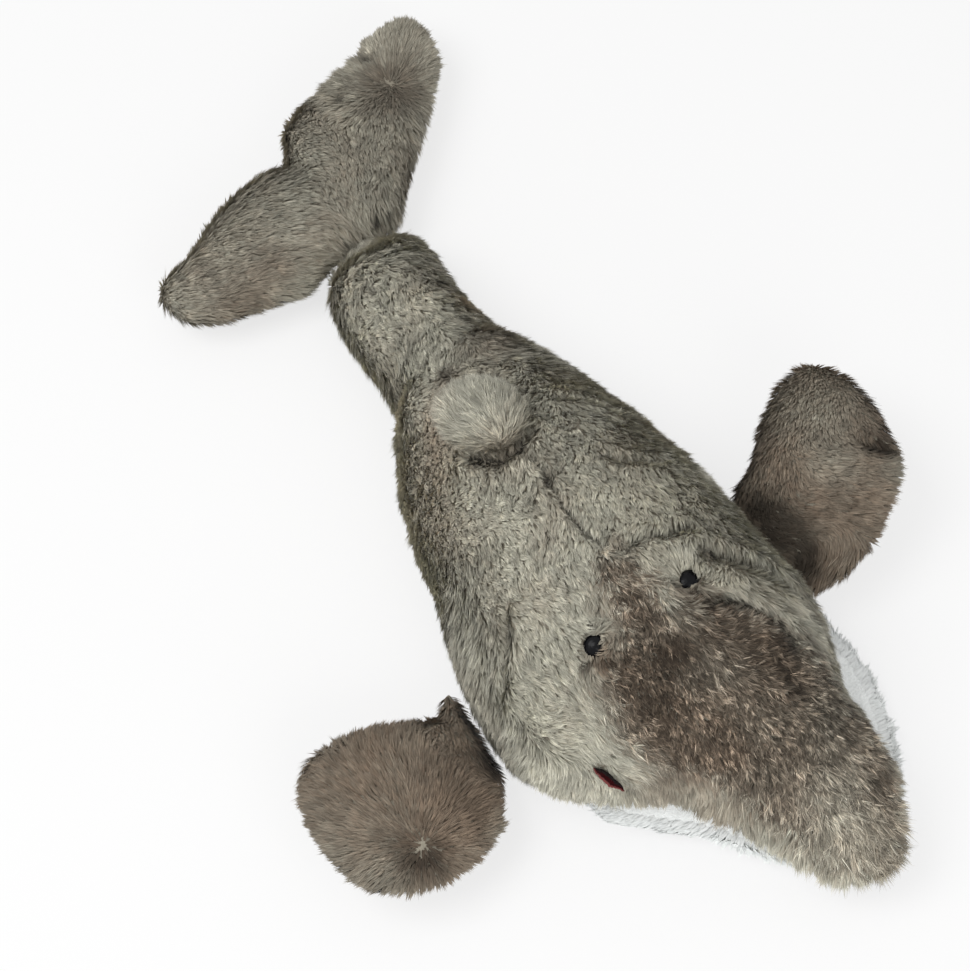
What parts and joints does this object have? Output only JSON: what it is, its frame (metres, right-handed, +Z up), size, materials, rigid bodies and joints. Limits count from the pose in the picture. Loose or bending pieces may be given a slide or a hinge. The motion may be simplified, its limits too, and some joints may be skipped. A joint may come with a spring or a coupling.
{
  "type": "plush whale",
  "caption": "Soft stuffed whale lying on its belly: long grey pile, white underside, tail flukes, flippers, a round back fin, black eyes and a small red mouth.",
  "frame": {"origin": "middle of the bounding box on the floor that the belly lies on", "axes": "+Z up, +Y towards the tail, so that the snout points along -Y and the whale's own right side is towards -X"},
  "size_m": [0.4248, 0.664, 0.1499],
  "materials": {
    "pile_grey": "matte",
    "pile_dark": "matte",
    "pile_pale": "matte",
    "pile_brown": "matte",
    "pile_white": "matte",
    "polyester_fibre": "matte",
    "cotton_sheeting": "matte",
    "felt_red": "matte",
    "eye_gloss_black": "gloss",
    "nylon_white": "satin"
  },
  "bodies": {
    "torso": {"back_panel_left": "pile_grey", "back_panel_right": "pile_grey", "belly_panel": "pile_white", "body_filling": "polyester_fibre", "pellet_pouch": "cotton_sheeting", "cheek_panel_left": "pile_grey", "cheek_panel_right": "pile_grey", "forehead_gusset": "pile_dark", "throat_panel": "pile_white", "mouth_lining": "felt_red", "head_filling": "polyester_fibre", "eye_left": "eye_gloss_black", "eye_right": "eye_gloss_black", "eye_washer_left": "nylon_white", "eye_washer_right": "nylon_white"},
    "lower_jaw": {"jaw_lining": "felt_red", "chin_panel": "pile_white", "jaw_filling": "polyester_fibre"},
    "tail_stock": {"stock_panel_left": "pile_grey", "stock_panel_right": "pile_grey", "stock_filling": "polyester_fibre"},
    "flukes": {"fluke_top": "pile_grey", "fluke_bottom": "pile_grey", "fluke_filling": "polyester_fibre"},
    "flipper_left": {"flipper_left_top": "pile_brown", "flipper_left_bottom": "pile_brown", "flipper_left_filling": "polyester_fibre"},
    "flipper_right": {"flipper_right_top": "pile_brown", "flipper_right_bottom": "pile_brown", "flipper_right_filling": "polyester_fibre"},
    "dorsal_fin": {"dorsal_fin_left": "pile_pale", "dorsal_fin_right": "pile_pale", "dorsal_fin_filling": "polyester_fibre"}
  },
  "joints": [
    {"name": "jaw_open", "type": "hinge", "parent": "torso", "child": "lower_jaw", "pos_m": [0.03242, -0.19351, 0.0225], "axis": [1, 0, 0], "range_deg": [0, 6]},
    {"name": "tail_swing", "type": "hinge", "parent": "torso", "child": "tail_stock", "pos_m": [0.02342, 0.08119, 0.03658], "axis": [0, 0, 1], "range_deg": [-18, 18]},
    {"name": "fluke_flap", "type": "hinge", "parent": "tail_stock", "child": "flukes", "pos_m": [0.03944, 0.19302, 0.02653], "axis": [1, 0, 0], "range_deg": [-6, 25]},
    {"name": "flipper_left_lift", "type": "hinge", "parent": "torso", "child": "flipper_left", "pos_m": [0.1071, -0.12975, 0.0274], "axis": [0.0184, -0.9998, 0], "range_deg": [-26, 20]},
    {"name": "flipper_right_lift", "type": "hinge", "parent": "torso", "child": "flipper_right", "pos_m": [-0.10043, -0.12873, 0.0274], "axis": [0.1523, 0.9883, 0], "range_deg": [-16, 30]},
    {"name": "fin_lean", "type": "hinge", "parent": "torso", "child": "dorsal_fin", "pos_m": [0.00217, -0.01235, 0.12117], "axis": [0.1291, 0.9437, -0.3045], "range_deg": [-25, 25]}
  ]
}
